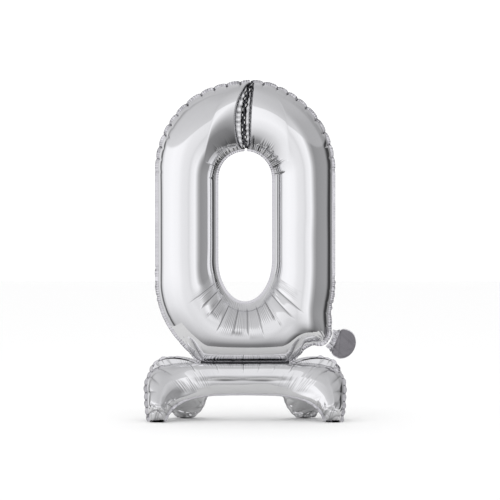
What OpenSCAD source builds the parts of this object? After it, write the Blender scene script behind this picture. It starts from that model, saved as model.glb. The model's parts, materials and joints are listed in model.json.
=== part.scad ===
// Self-standing foil number balloon: the digit 0 on a four-footed air base.
// Millimetres, +Z up, front towards -Y, origin on the floor under the middle of the whole outline.

/* [Digit] */
// Width of the digit between its outer welds
digit_w = 380; // [360:2:400]
// Height of the outer weld at the crown, above the floor
crown_z = 732; // [700:2:760]
// Height of the centre of the digit's lower bend
low_bend_z = 302; // [290:2:320]
// Depth of the inflated digit, front to back
digit_d = 124; // [100:2:140]
// Width of the counter, the hole in the 0, between its welds
counter_w = 125; // [110:1:140]
// Height of the weld at the top of the counter
counter_top_z = 588; // [570:1:600]
// Height of the weld at the foot of the counter
counter_low_z = 253; // [245:1:270]

/* [Base] */
// Height of the top of the weld that joins the digit and the base
neck_z = 127; // [124:1:132]
// Half the length of that weld
neck_half = 96; // [92:1:100]
// Lean of each pad away from upright, in degrees
pad_lean = 28; // [26:1:30]
// Height of the weld over the arch under each pad
arch_z = 58; // [54:1:62]
// Bulge of the outer film of a pad
pad_out = 34; // [28:1:36]
// Bulge of the inner film of a pad
pad_in = 24; // [18:1:26]

/* [Film and welds] */
// Thickness that stands for the foil film
film_t = 0.4; // [0.3:0.05:0.6]
// Width of the welded band round an outline
seam_w = 6; // [4:0.5:8]
// Thickness of a welded band
seam_t = 0.6; // [0.4:0.1:1]
// Width of the weld across the tube at the crown
crown_gap = 8; // [6:1:12]

/* [Filling tail] */
// Width of the tail's round end
tail_w = 66; // [56:1:72]
// Length of the tail from its fold
tail_l = 56; // [48:1:62]
// Fall of the tail below level, in degrees
tail_drop = 23; // [10:1:35]
// Length of the valve sleeve inside the digit
sleeve_l = 90; // [60:5:110]

/* [Hidden] */

foil = [0.80, 0.80, 0.82];
welded = [0.66, 0.66, 0.69];
liner = [0.90, 0.92, 0.94];

arc_steps = 14;        // stations in a quarter bend of the digit
foot_steps = 44;       // stations round the digit's lower bend
straight_steps = 4;    // stations in a straight side
round_steps = 10;      // steps across a film, weld to weld
pad_steps = 24;        // stations from the middle of a pad to one foot
end_bulge = 1.5;       // bulge left where a film runs out into a weld

outer_r = digit_w / 2;
counter_r = counter_w / 2;
top_bend_z = crown_z - outer_r;
counter_bend_z = counter_top_z - counter_r;
counter_low_h = 94;                                  // height of the counter's half-oval foot
counter_oval_z = counter_low_z + counter_low_h;
crown_taper = 70;                                    // length over which the tube fills out at the crown
neck_angle = atan2(neck_z - low_bend_z, neck_half);
neck_reach = norm([neck_half, low_bend_z - neck_z]) - outer_r;
neck_spread = 8;
valve_angle = -36;                                   // where the outline reaches out to the valve
valve_reach = 28;
valve_spread = [11, 7];                              // above and below the valve
tail_root = [186, 176];                              // where the tail folds, in x and z
tail_fold = 2;                                       // bare film between the seam and the tail
collar_w = 40;
collar_l = 14;
tail_end_l = 48;
hinge_z = neck_z - seam_w;                           // foot of the neck weld, where the pads fold
pad_top_z = hinge_z - 3;
pad_swing = 3.5;                                     // how far a pad leans in before it meets the other
pad_gap = 0.5;
foot_z = 1.5;                                        // height of the film at the end of a foot
foot_weld_l = 6;                                     // the weld across a foot's end, flat on the floor
base_half = 214 + seam_w;
tail_reach = tail_root[0] + (tail_l - tail_end_l / 2) * cos(tail_drop)
    + norm([tail_end_l / 2 * cos(tail_drop), tail_w / 2 * sin(tail_drop)]);
x_shift = (tail_reach - base_half) / 2;              // puts the origin under the middle of the outline

function mix(a, b, f) = a + (b - a) * f;
function along(angle, r) = [r * cos(angle), r * sin(angle)];
function unit(v) = v / norm(v);
function bezier(p, t) = pow(1 - t, 3) * p[0] + 3 * t * pow(1 - t, 2) * p[1]
    + 3 * t * t * (1 - t) * p[2] + pow(t, 3) * p[3];

// ---- the digit's outline: stations run clockwise from the crown weld, right round to it again ----

// A station is [stretch, fraction along it]. The stretches are top right, right side, foot, left side
// and top left.
stations = concat(
    [for (i = [0:arc_steps]) [0, i / arc_steps]],
    [for (i = [1:straight_steps - 1]) [1, i / straight_steps]],
    [for (i = [0:foot_steps]) [2, i / foot_steps]],
    [for (i = [1:straight_steps - 1]) [3, i / straight_steps]],
    [for (i = [0:arc_steps]) [4, i / arc_steps]]);

function bend_angle(s, r) = s[0] == 0 ? mix(acos(crown_gap / 2 / r), 0, s[1])
    : s[0] == 2 ? -180 * s[1]
    : 180 - mix(0, acos(crown_gap / 2 / r), s[1]);
function lobe(angle, at, reach, spread) = reach * exp(-pow((angle - at) / spread, 2));
function foot_r(angle) = outer_r
    + lobe(angle, valve_angle, valve_reach, valve_spread[angle > valve_angle ? 0 : 1])
    + lobe(angle, neck_angle, neck_reach, neck_spread)
    + lobe(angle, -180 - neck_angle, neck_reach, neck_spread);
function side_x(s, r) = s[0] == 1 ? r : -r;
function side_f(s) = s[0] == 1 ? s[1] : 1 - s[1];

function outer_pt(s, grow = 0) =
    s[0] == 1 || s[0] == 3 ? [side_x(s, outer_r + grow), mix(top_bend_z, low_bend_z, side_f(s))]
    : s[0] == 2 ? let (a = bend_angle(s, outer_r), p = along(a, foot_r(a) + grow))
        [p[0], max(low_bend_z + p[1], neck_z)]
    : [0, top_bend_z] + along(bend_angle(s, outer_r), outer_r + grow);

function inner_pt(s, shrink = 0) =
    s[0] == 1 || s[0] == 3
        ? [side_x(s, counter_r - shrink), mix(counter_bend_z, counter_oval_z, side_f(s))]
    : s[0] == 2 ? let (a = bend_angle(s, counter_r))
        [(counter_r - shrink) * cos(a), counter_oval_z + (counter_low_h - shrink) * sin(a)]
    : [0, counter_bend_z] + along(bend_angle(s, counter_r), counter_r - shrink);

// How far a station lies from the crown weld, along the middle of the tube.
function from_crown(s) = s[0] == 0 || s[0] == 4
    ? abs(90 - bend_angle(s, outer_r)) * PI / 180 * (outer_r + counter_r) / 2
    : 2 * crown_taper;
function tube_h(s) = let (f = min(from_crown(s) / crown_taper, 1))
    max(end_bulge, digit_d / 2 * sqrt(1 - pow(1 - f, 2)));

// ---- sheets: a grid of points on each face, joined round the rim ----

// A closed sheet between two grids of points that have the same rows and columns.
module sheet(face, back) {
    rows = len(face);
    cols = len(face[0]);
    n = rows * cols;
    points = concat([for (r = face) for (p = r) p], [for (r = back) for (p = r) p]);
    skin = [for (i = [0:rows - 2]) for (j = [0:cols - 2])
        let (a = i * cols + j, b = a + 1, c = a + cols, d = c + 1)
        each [[a, c, b], [b, c, d], [n + a, n + b, n + c], [n + b, n + d, n + c]]];
    long_rims = [for (i = [0:rows - 2]) let (a = i * cols, c = a + cols, b = a + cols - 1, d = b + cols)
        each [[a, n + a, c], [c, n + a, n + c], [b, d, n + b], [d, n + d, n + b]]];
    end_rims = [for (j = [0:cols - 2]) let (a = j, b = j + 1, c = (rows - 1) * cols + j, d = c + 1)
        each [[a, b, n + a], [b, n + b, n + a], [c, n + c, d], [d, n + c, n + d]]];
    polyhedron(points, concat(skin, long_rims, end_rims), convexity = 8);
}

// The inner face of a film, a film's thickness under its outer face. way is 1 where the outer face's normal,
// as its rows and columns run, points in. The rims are given, so that two films meet flush at their weld.
function normal_at(g, i, j) = unit(cross(
    g[min(i + 1, len(g) - 1)][j] - g[max(i - 1, 0)][j],
    g[i][j + 1] - g[i][j - 1]));
function under(g, rims, way) = [for (i = [0:len(g) - 1]) [for (j = [0:len(g[0]) - 1])
    j == 0 || j == len(g[0]) - 1 ? rims[i][j] : g[i][j] + way * film_t * normal_at(g, i, j)]];
module film(outer_face, rims, way) {
    if (way > 0) sheet(outer_face, under(outer_face, rims, way));
    else sheet(under(outer_face, rims, way), outer_face);
}

// One film of the digit; side is -1 for the front film and 1 for the back film.
module digit_film(side) {
    function grid(inset) = [for (s = stations) let (a = inner_pt(s), b = outer_pt(s), e = unit(b - a),
        mid = (a + b) / 2, half = norm(b - a) / 2 - inset, h = tube_h(s) - inset)
        [for (j = [0:round_steps]) let (t = 180 * j / round_steps, p = mid - e * half * cos(t))
            [p[0], side * max(h * sin(t), 0), p[1]]]];
    film(grid(0), grid(film_t), side);
}

// A flat band in the digit's plane, from an outline given in x and z.
module flat_band(outline, t) {
    rotate([90, 0, 0]) linear_extrude(t, center = true) polygon(outline);
}

// ---- the pads: an outline seen from the front, leant about the neck weld ----

// Outer edge of half a pad: along the neck, over the shoulder, down the side and round the foot.
function edge_of(q, neck, shoulder, foot) = q < 0.3 ? mix(neck[0], neck[1], q / 0.3)
    : q < 0.8 ? bezier(shoulder, (q - 0.3) / 0.5)
    : bezier(foot, (q - 0.8) / 0.2);

front_outer = [[[0, pad_top_z], [neck_half, pad_top_z]],
    [[neck_half, pad_top_z], [176, pad_top_z - 3], [222, 118], [213, 56]],
    [[213, 56], [213, 36], [211, 18], [206, foot_z]]];
front_inner = [[[0, arch_z], [60, arch_z - 1]],
    [[60, arch_z - 1], [112, arch_z - 3], [142, 44], [160, 26]],
    [[160, 26], [166, 18], [171, 9], [174, foot_z]]];
rear_outer = [[[0, pad_top_z], [neck_half, pad_top_z]],
    [[neck_half, pad_top_z], [128, 134], [206, 150], [204, 92]],
    [[204, 92], [196, 58], [166, 24], [144, foot_z]]];
rear_inner = [[[0, arch_z], [58, arch_z - 1]],
    [[58, arch_z - 1], [80, arch_z - 2], [87, 50], [90, 36]],
    [[90, 36], [93, 24], [103, 12], [116, foot_z]]];

// Fractions from the middle of a pad, 0, to its feet, -1 and 1, closer together at the feet.
halves = [for (i = [-pad_steps:pad_steps]) sign(i) * (1 - pow(1 - abs(i) / pad_steps, 1.6))];
function mirrored(q, edge) = let (p = edge_of(abs(q), edge[0], edge[1], edge[2])) [sign(q) * p[0], p[1]];
function fullness(q) = let (f = abs(q)) f > 0.72 ? sqrt(max(1 - pow((f - 0.72) / 0.28, 2), 0)) : 1;
function slimness(q, low) = mix(low, 1, pow(sin(90 * min(abs(q) / 0.6, 1)), 2));

// Puts a point of a pad's outline on the leaning plane, n out along the plane's normal. The other pad
// flattens it, and clear is how far it stays from that and from the floor.
function leant(side, p, n, clear) = let (drop = max(hinge_z - p[1], 0)) [p[0],
    side * max(
        (hinge_z - p[1]) * tan(pad_lean) + n * cos(pad_lean),
        drop * tan(pad_swing) + pad_gap + clear),
    max(p[1] + n * sin(pad_lean), clear)];

// One film of a pad. bulge is positive for the outer film and negative for the inner one, and middle is
// the share of it in the middle of the pad.
module pad_film(side, outer, inner, bulge, middle) {
    function grid(inset) = [for (q = halves) let (
        a = mirrored(q, inner), b = mirrored(q, outer), e = unit(b - a),
        mid = (a + b) / 2, half = norm(b - a) / 2 - inset,
        h = max(abs(bulge) * fullness(q) * slimness(q, middle), end_bulge) - inset)
        [for (j = [0:round_steps]) let (t = 180 * j / round_steps, p = mid - e * half * cos(t))
            leant(side, p, sign(bulge) * max(h * sin(t), 0), bulge > 0 ? 2 * film_t - inset : inset)]];
    film(grid(0), grid(film_t), side * sign(bulge));
}

// A welded band that runs out from a pad's edge; way is 1 outside the pad and -1 inside the arch.
function outline(edge) = [for (q = halves) mirrored(q, edge)];
function outward(line, i, way) = let (d = unit(line[min(i + 1, len(line) - 1)] - line[max(i - 1, 0)]))
    way * [-d[1], d[0]];
function band_w(p, way) = way > 0 && abs(p[0]) < neck_half + 8 && p[1] > arch_z ? 2 : seam_w;
function band(side, line, way, n) = [for (i = [0:len(line) - 1]) [for (w = [0, band_w(line[i], way)])
    let (lift = n < 0 ? 0 : seam_t) leant(side, line[i] + w * outward(line, i, way), n, lift)]];

// The welded band round a pad: the outer edge from foot to foot, and the arch.
module pad_seam(side, outer, inner) {
    for (edge = [[outline(outer), 1], [outline(inner), -1]]) {
        t = side * edge[1] * seam_t / 2;
        sheet(band(side, edge[0], edge[1], t), band(side, edge[0], edge[1], -t));
    }
}

// The welds across the ends of a pad's two feet, flat on the floor.
module foot_welds(side, outer, inner) {
    for (way = [-1, 1]) {
        ends = [way * outer[2][3][0], way * inner[2][3][0]];
        y = (hinge_z - foot_z) * tan(pad_lean) + foot_weld_l / 3;
        translate([(ends[0] + ends[1]) / 2, side * y, seam_t / 2])
            cube([abs(ends[0] - ends[1]), foot_weld_l, seam_t], center = true);
    }
}

// ---- the nodes ----

module digit_front_film() { color(foil) digit_film(-1); }

module digit_back_film() { color(foil) digit_film(1); }

// The outer weld, in two runs: crown to neck on each side.
module digit_outer_seam() {
    count = len(stations);
    line = [for (s = stations) outer_pt(s)];
    right_end = max([for (i = [0:count - 1]) line[i][0] > 0 && line[i][1] > neck_z ? i : 0]);
    left_end = min([for (i = [0:count - 1]) line[i][0] < 0 && line[i][1] > neck_z ? i : count]);
    color(welded) for (run = [[0, right_end], [left_end, count - 1]])
        flat_band(concat([for (i = [run[0]:run[1]]) line[i]],
            [for (i = [run[1]:-1:run[0]]) outer_pt(stations[i], seam_w)]), seam_t);
}

// The weld round the counter.
module counter_seam() {
    color(welded) rotate([90, 0, 0]) linear_extrude(seam_t, center = true) difference() {
        polygon([for (s = stations) inner_pt(s)]);
        polygon([for (s = stations) inner_pt(s, seam_w - 1)]);
    }
}

// The weld that closes the tube across the crown.
module crown_weld() {
    color(welded) translate([0, 0, (counter_top_z + crown_z) / 2])
        cube([crown_gap, seam_t, crown_z - counter_top_z - 2], center = true);
}

// The weld where the digit's films and the pads' films meet.
module neck_weld() {
    color(welded) translate([0, 0, hinge_z + seam_w / 2])
        cube([2 * neck_half, 2 * seam_t, seam_w], center = true);
}

// One film of the flat valve sleeve inside the digit, running in from the tail.
module valve_sleeve(side) {
    sleeve_w = 24;
    gap = 0.2;
    mouth = [0, low_bend_z] + along(valve_angle, foot_r(valve_angle) - 6);
    color(liner) translate([mouth[0], 0, mouth[1]]) rotate([0, 180 - valve_angle, 0])
        translate([0, side * (gap + film_t) / 2, 0])
            rotate([90, 0, 0]) linear_extrude(film_t, center = true)
                polygon([[0, -sleeve_w / 2], [sleeve_l, -sleeve_w / 2 + 3],
                    [sleeve_l, sleeve_w / 2 - 3], [0, sleeve_w / 2]]);
}

module valve_sleeve_front() { valve_sleeve(-1); }

module valve_sleeve_back() { valve_sleeve(1); }

// One foil of the filling tail: a short collar that opens into a round end.
module tail_foil(side) {
    color(foil) translate([tail_root[0], side * film_t / 2, tail_root[1]]) rotate([0, tail_drop, 0])
        rotate([90, 0, 0]) linear_extrude(film_t, center = true) {
            translate([tail_fold, -collar_w / 2]) square([collar_l, collar_w]);
            polygon([for (i = [0:35])
                [tail_l - tail_end_l / 2 * (1 - cos(10 * i)), tail_w / 2 * sin(10 * i)]]);
        }
}

module tail_front_foil() { tail_foil(-1); }

module tail_back_foil() { tail_foil(1); }

module front_pad_outer_film() { color(foil) pad_film(-1, front_outer, front_inner, pad_out, 1); }

module front_pad_inner_film() { color(foil) pad_film(-1, front_outer, front_inner, -pad_in, 0.8); }

module front_pad_seam() { color(welded) pad_seam(-1, front_outer, front_inner); }

module front_foot_welds() { color(welded) foot_welds(-1, front_outer, front_inner); }

module rear_pad_outer_film() { color(foil) pad_film(1, rear_outer, rear_inner, pad_out, 1); }

module rear_pad_inner_film() { color(foil) pad_film(1, rear_outer, rear_inner, -pad_in, 0.8); }

module rear_pad_seam() { color(welded) pad_seam(1, rear_outer, rear_inner); }

module rear_foot_welds() { color(welded) foot_welds(1, rear_outer, rear_inner); }

module placed() { translate([-x_shift, 0, 0]) children(); }

placed() digit_front_film();
placed() digit_back_film();
placed() digit_outer_seam();
placed() counter_seam();
placed() crown_weld();
placed() neck_weld();
placed() valve_sleeve_front();
placed() valve_sleeve_back();
placed() tail_front_foil();
placed() tail_back_foil();
placed() front_pad_outer_film();
placed() front_pad_inner_film();
placed() front_pad_seam();
placed() front_foot_welds();
placed() rear_pad_outer_film();
placed() rear_pad_inner_film();
placed() rear_pad_seam();
placed() rear_foot_welds();
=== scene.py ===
import json
import math
import bpy
import numpy as np
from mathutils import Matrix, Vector


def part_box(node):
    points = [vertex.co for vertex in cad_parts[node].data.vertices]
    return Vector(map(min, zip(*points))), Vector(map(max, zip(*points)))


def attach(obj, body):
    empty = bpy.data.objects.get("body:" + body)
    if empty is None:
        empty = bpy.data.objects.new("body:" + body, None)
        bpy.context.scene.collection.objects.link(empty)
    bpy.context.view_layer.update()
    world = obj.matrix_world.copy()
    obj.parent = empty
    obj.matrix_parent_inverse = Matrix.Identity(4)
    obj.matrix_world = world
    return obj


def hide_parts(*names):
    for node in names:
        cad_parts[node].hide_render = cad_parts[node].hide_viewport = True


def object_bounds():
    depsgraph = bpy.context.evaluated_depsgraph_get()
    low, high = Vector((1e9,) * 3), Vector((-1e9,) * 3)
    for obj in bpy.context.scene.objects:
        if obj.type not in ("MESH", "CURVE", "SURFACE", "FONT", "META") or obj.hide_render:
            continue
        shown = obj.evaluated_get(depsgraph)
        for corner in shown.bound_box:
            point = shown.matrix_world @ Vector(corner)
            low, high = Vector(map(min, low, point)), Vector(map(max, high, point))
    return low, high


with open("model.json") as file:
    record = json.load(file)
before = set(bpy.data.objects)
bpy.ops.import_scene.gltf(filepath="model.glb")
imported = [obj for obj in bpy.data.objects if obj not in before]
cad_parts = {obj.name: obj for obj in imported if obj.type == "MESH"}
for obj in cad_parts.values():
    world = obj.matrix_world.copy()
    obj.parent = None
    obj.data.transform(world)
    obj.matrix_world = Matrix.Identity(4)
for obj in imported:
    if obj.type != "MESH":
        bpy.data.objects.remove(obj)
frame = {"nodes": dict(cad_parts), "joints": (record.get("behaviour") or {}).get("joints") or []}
cad_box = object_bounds()

MM = 0.001

# ---------------------------------------- sizes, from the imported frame

digit_low, digit_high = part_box("digit_front_film")
hole_low, hole_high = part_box("counter_seam")
neck_low, neck_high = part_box("neck_weld")
tail_flap = next(joint for joint in frame["joints"] if joint["name"] == "tail_flap")

MID_X = (hole_low[0] + hole_high[0]) / 2
OUTER_R = (digit_high[0] - digit_low[0]) / 2
COUNTER_R = (hole_high[0] - hole_low[0]) / 2
HALF_DEPTH = -digit_low[1]
CROWN_Z = digit_high[2]
NECK_Z = neck_high[2]
NECK_HALF = (neck_high[0] - neck_low[0]) / 2
HINGE_Z = neck_low[2]
TOP_BEND_Z = CROWN_Z - OUTER_R
LOW_BEND_Z = 302 * MM
COUNTER_TOP_Z = hole_high[2]
COUNTER_LOW_Z = hole_low[2]
COUNTER_BEND_Z = COUNTER_TOP_Z - COUNTER_R
COUNTER_OVAL_H = 94 * MM
COUNTER_OVAL_Z = COUNTER_LOW_Z + COUNTER_OVAL_H
VALVE_ANGLE = math.radians(-36)         # of the valve corner, seen from the middle of the lower bend
VALVE_REACH = 28 * MM                   # how far the weld is drawn out there
PAD_LEAN = math.radians(28)
PAD_SWING = math.radians(3.5)           # each pad keeps this far off upright, as it can fold 3 degrees in
TAIL_ROOT = np.array(tail_flap["pos_m"])
TAIL_UP = np.array(tail_flap["axis"])
TAIL_OUT = np.array([TAIL_UP[2], 0, -TAIL_UP[0]])
GAP = 2.4 * MM                          # from the middle of the crown weld to the films
SEAM_PITCH = 29 * MM                    # of the pleats in the digit's outer weld
PETAL_PITCH = 12.5 * MM                 # of the petals beside the crown weld
NECK_PITCH = 6.5 * MM                   # of the small pleats at the neck weld

FINE = 1.0       # share of the full number of stations


# ---------------------------------------- shapes of folds

def smooth(low, high, x):
    """0 below low, 1 above high, and a smooth rise between."""
    f = np.clip((x - low) / (high - low), 0, 1)
    return f * f * (3 - 2 * f)


def between(low, full, fading, gone, x):
    """Rises from low to full and falls back from fading to gone."""
    return smooth(low, full, x) * (1 - smooth(fading, gone, x))


def bell(x, width):
    """A rounded hump, 1 at 0."""
    return np.exp(-(x / width) ** 2)


def spike(x, width):
    """A hump with a sharp crest, 1 at 0."""
    return np.exp(-np.abs(x) / width)


def wander(s, spacing, seed):
    """Smooth random values from -1 to 1 along s, a new one every spacing."""
    rng = np.random.default_rng(seed)
    knots = rng.uniform(-1, 1, 4096)
    f = s / spacing + 1000
    i = np.floor(f).astype(int)
    g = smooth(0, 1, f - i)
    return knots[i % 4096] * (1 - g) + knots[(i + 1) % 4096] * g


def pleats(s, pitch, seed, loose=0.35):
    """Rounded folds from 0 in the valleys to 1 on the crests, with an uneven pitch."""
    phase = s / pitch + loose * wander(s, 3 * pitch, seed)
    return np.abs(np.sin(np.pi * phase))


def cusps(s, places, width):
    """Sharp valleys, 1 deep, at the given places along s."""
    return np.max([spike(s - place, width) for place in places], axis=0)


def crinkle(a, b, size, seed):
    """Crumpled foil over distances a and b: its facets' height, -1 to 1, and 1 along their creases."""
    height, crease_and_painted_shade = -1.0, 0.0
    for k, turn in enumerate((0.3, 1.2, 2.3)):
        fold = np.abs(wander(a * math.cos(turn) + b * math.sin(turn), size, seed + k))
        height = height + fold * 4 / 3
        crease_and_painted_shade = np.maximum(crease_and_painted_shade, np.exp(-fold / 0.10))
    return height, crease_and_painted_shade


def uneven(start, stop, pitch, seed, spread=0.3):
    """Places from start to stop, about pitch apart."""
    rng = np.random.default_rng(seed)
    places = []
    at = start
    while at < stop:
        places.append(at)
        at += pitch * (1 + spread * rng.uniform(-1, 1))
    return np.array(places)


# ---------------------------------------- lines and meshes

def bezier(p, t):
    """Points of a cubic curve with four control points, at each share t."""
    p = np.array(p, float)
    t = np.asarray(t)[:, None]
    return (1 - t) ** 3 * p[0] + 3 * t * (1 - t) ** 2 * p[1] + 3 * t * t * (1 - t) * p[2] + t ** 3 * p[3]


def along(line):
    """Distance along a line of points."""
    steps = np.linalg.norm(np.diff(line, axis=0), axis=1)
    return np.concatenate([[0], np.cumsum(steps)])


def upright(line):
    """A line in x and z as points in the plane of the digit's welds."""
    return np.stack([line[:, 0], np.zeros(len(line)), line[:, 1]], axis=1)


def beside_line(line):
    """Unit vectors to the left of a line in x and z, seen from the front."""
    tangent = np.gradient(line, axis=0)
    tangent /= np.maximum(np.linalg.norm(tangent, axis=1, keepdims=True), 1e-9)
    return np.stack([-tangent[:, 1], tangent[:, 0]], axis=1)


def softened(line, spread):
    """A line with its corners rounded off over a distance, its ends left where they are."""
    steps = np.arange(-3, 3.01, 0.25)
    s = along(line)
    weight = np.exp(-steps ** 2 / 2)
    out = np.zeros_like(line)
    reach = np.minimum(1, np.minimum(s, s[-1] - s) / (3 * spread))
    for step, w in zip(steps, weight):
        at = s + step * spread * reach
        out += w * np.stack([np.interp(at, s, line[:, k]) for k in (0, 1)], axis=1)
    return out / weight.sum()


def normals(grid):
    """Unit normal at each point of a grid."""
    n = np.cross(np.gradient(grid, axis=0), np.gradient(grid, axis=1))
    return n / np.maximum(np.linalg.norm(n, axis=2, keepdims=True), 1e-12)


def mesh_from_grid(name, grid, flip=False, crease_and_painted_shade=None):
    """A sheet of quads through a grid of points, with an optional point attribute of painted shade, 0 to 1:
    how far the foil's colour is darkened at each point for folds and crevices.
    """
    rows, cols = grid.shape[:2]
    i, j = np.meshgrid(np.arange(rows - 1), np.arange(cols - 1), indexing="ij")
    a = (i * cols + j).ravel()
    quads = np.stack([a, a + 1, a + cols + 1, a + cols], axis=1)
    if flip:
        quads = quads[:, ::-1]
    mesh = bpy.data.meshes.new(name)
    mesh.vertices.add(rows * cols)
    mesh.vertices.foreach_set("co", grid.reshape(-1).astype(np.float32))
    mesh.loops.add(quads.size)
    mesh.loops.foreach_set("vertex_index", quads.reshape(-1).astype(np.int32))
    mesh.polygons.add(len(quads))
    mesh.polygons.foreach_set("loop_start", np.arange(0, quads.size, 4, dtype=np.int32))
    mesh.polygons.foreach_set("use_smooth", np.ones(len(quads), dtype=bool))
    mesh.update(calc_edges=True)
    if crease_and_painted_shade is not None:
        layer = mesh.attributes.new("crease_and_painted_shade", "FLOAT", "POINT")
        layer.data.foreach_set("value", np.clip(crease_and_painted_shade, 0, 1).ravel().astype(np.float32))
    obj = bpy.data.objects.new(name, mesh)
    bpy.context.scene.collection.objects.link(obj)
    return obj


# ---------------------------------------- materials

def feed(tree, socket, source):
    """Gives an input a plain value, or links it to another node's output."""
    if isinstance(source, bpy.types.NodeSocket):
        tree.links.new(source, socket)
    else:
        socket.default_value = source


def shader_node(tree, kind, **inputs):
    """A new shader node, with some of its inputs fed by name."""
    node = tree.nodes.new("ShaderNode" + kind)
    for name, source in inputs.items():
        feed(tree, node.inputs[name.replace("_", " ")], source)
    return node


def mixed(tree, kind, share, a, b):
    """Two colours mixed or multiplied."""
    node = tree.nodes.new("ShaderNodeMix")
    node.data_type = "RGBA"
    node.blend_type = kind
    for name, source in (("Factor", share), ("A", a), ("B", b)):
        feed(tree, node.inputs[name], source)
    return node.outputs["Result"]


def foil_material(name, color, roughness, wrinkle, scale=60.0, metallic=1.0):
    """Metallised film: a mirror with faint wrinkles and uneven polish, its colour darkened by painted shade
    deep in the folds.
    """
    mat = bpy.data.materials.new(name)
    mat.use_nodes = True
    tree = mat.node_tree
    # painted shade: a point attribute darkens the colour towards near black in folds, crevices and along
    # weld edges
    depth = shader_node(tree, "Attribute")
    depth.attribute_name = "crease_and_painted_shade"
    colour_with_painted_shade = mixed(tree, "MIX", depth.outputs["Fac"], (*color, 1), (0.035, 0.034, 0.038, 1))
    spot = shader_node(tree, "TexCoord").outputs["Object"]
    cells = shader_node(tree, "TexNoise", Vector=spot, Scale=scale, Detail=3.0)
    creases = shader_node(tree, "TexVoronoi", Vector=spot, Scale=scale * 0.55)
    creases.feature = "DISTANCE_TO_EDGE"
    polish = shader_node(tree, "MapRange", Value=cells.outputs["Fac"],
                         To_Min=roughness * 0.7, To_Max=roughness * 1.4)
    wave = shader_node(tree, "Bump", Strength=wrinkle, Distance=0.0012, Height=cells.outputs["Fac"])
    fold = shader_node(tree, "Bump", Strength=wrinkle * 0.35, Distance=0.0006,
                       Height=creases.outputs["Distance"], Normal=wave.outputs["Normal"])
    surface = {"Metallic": metallic, "Base Color": colour_with_painted_shade,
               "Roughness": polish.outputs["Result"], "Normal": fold.outputs["Normal"]}
    for socket, source in surface.items():
        feed(tree, tree.nodes["Principled BSDF"].inputs[socket], source)
    return mat


foil = foil_material("foil", (0.93, 0.93, 0.94), 0.055, 0.10, 14)
welded = foil_material("welded_foil", (0.80, 0.79, 0.82), 0.12, 0.5, 160)
# painted shade: a near-black foil for the crown and neck welds, standing in for the shade in the deep
# crevices there
shaded = foil_material("painted_crevice_shade_foil", (0.10, 0.10, 0.11), 0.30, 0.5, 160)
dull = foil_material("tail_dull_face", (0.30, 0.29, 0.31), 0.42, 0.35, 90)
clear = foil_material("valve_film", (0.86, 0.88, 0.90), 0.3, 0.1, metallic=0.0)


# ---------------------------------------- the digit's outline

def foot_radius(angle):
    """Outer weld of the lower bend: round, but drawn out to the valve and to both ends of the neck."""
    def lobe(at, reach, spread):
        return reach * bell(angle - at, math.radians(spread))
    neck_at = math.atan2(NECK_Z - LOW_BEND_Z, NECK_HALF)
    neck_reach = math.hypot(NECK_HALF, LOW_BEND_Z - NECK_Z) - OUTER_R
    above, below = (lobe(VALVE_ANGLE, VALVE_REACH, spread) for spread in (11, 7))
    valve = np.where(angle > VALVE_ANGLE, above, below)
    ends = sum(lobe(at, neck_reach, 8) for at in (neck_at, -math.pi - neck_at))
    return OUTER_R + valve + ends


def arc(angle, rx, rz, z):
    """An arc or part of an oval about x = 0 and a height z."""
    return np.stack([rx * np.cos(angle), z + rz * np.sin(angle)], axis=1)


def upright_side(x, top, bottom, f):
    """A straight side at x, from top to bottom."""
    return np.stack([np.full(len(f), x), top + (bottom - top) * f], axis=1)


def both_sides(top_line, side_line, foot_line):
    """A whole weld from its right half of the top bend, its right side and its foot."""
    mirror = np.array([-1, 1])
    left_side, left_top = side_line[::-1] * mirror, top_line[::-1] * mirror
    return np.concatenate([top_line, side_line, foot_line, left_side, left_top])


def digit_welds():
    """Inner and outer weld in x and z, clockwise from the crown weld, and which stations are the foot's."""
    top, side, foot = int(300 * FINE), int(90 * FINE), int(820 * FINE)
    # the top bend's stations crowd towards the crown weld
    crowd = np.linspace(0, 1, top) ** 1.5
    f_side = np.linspace(0, 1, side + 2)[1:-1]
    a_in, a_out = (math.acos(GAP / r) * (1 - crowd) for r in (COUNTER_R, OUTER_R))
    a_foot = -math.pi * np.linspace(0, 1, foot)
    radius = foot_radius(a_foot)
    foot_out = arc(a_foot, radius, radius, LOW_BEND_Z)
    foot_out[:, 1] = np.maximum(foot_out[:, 1], NECK_Z)
    inner = both_sides(arc(a_in, COUNTER_R, COUNTER_R, COUNTER_BEND_Z),
                       upright_side(COUNTER_R, COUNTER_BEND_Z, COUNTER_OVAL_Z, f_side),
                       arc(a_foot, COUNTER_R, COUNTER_OVAL_H, COUNTER_OVAL_Z))
    outer = both_sides(arc(a_out, OUTER_R, OUTER_R, TOP_BEND_Z),
                       upright_side(OUTER_R, TOP_BEND_Z, LOW_BEND_Z, f_side),
                       foot_out)
    upper = np.zeros(top + side, bool)
    return inner, outer, np.concatenate([upper, np.ones(foot, bool), upper])


def bends(blend=35 * MM):
    """1 on the upper and on the lower bend, 0 along the straight sides."""
    z = (INNER[:, 1] + OUTER[:, 1]) / 2
    upper = smooth(TOP_BEND_Z - blend, TOP_BEND_Z + blend, z)
    lower = 1 - smooth(LOW_BEND_Z - blend, LOW_BEND_Z + 2.5 * blend, z)
    return upper, lower


def counter_bends():
    """1 on both bends of the counter, 0 along its straight sides."""
    z = INNER[:, 1]
    return np.maximum(smooth(COUNTER_BEND_Z - 8 * MM, COUNTER_BEND_Z + 25 * MM, z),
                      1 - smooth(COUNTER_OVAL_Z - 60 * MM, COUNTER_OVAL_Z + 5 * MM, z))


def slit_x(z):
    """Sideways run of the crown weld, which slants and bows a little."""
    f = (z - COUNTER_TOP_Z) / (CROWN_Z - COUNTER_TOP_Z)
    return (1 - 24 * f * (1 - f) + 12 * np.clip(f, 0, 1.1) ** 3) * MM


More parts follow.
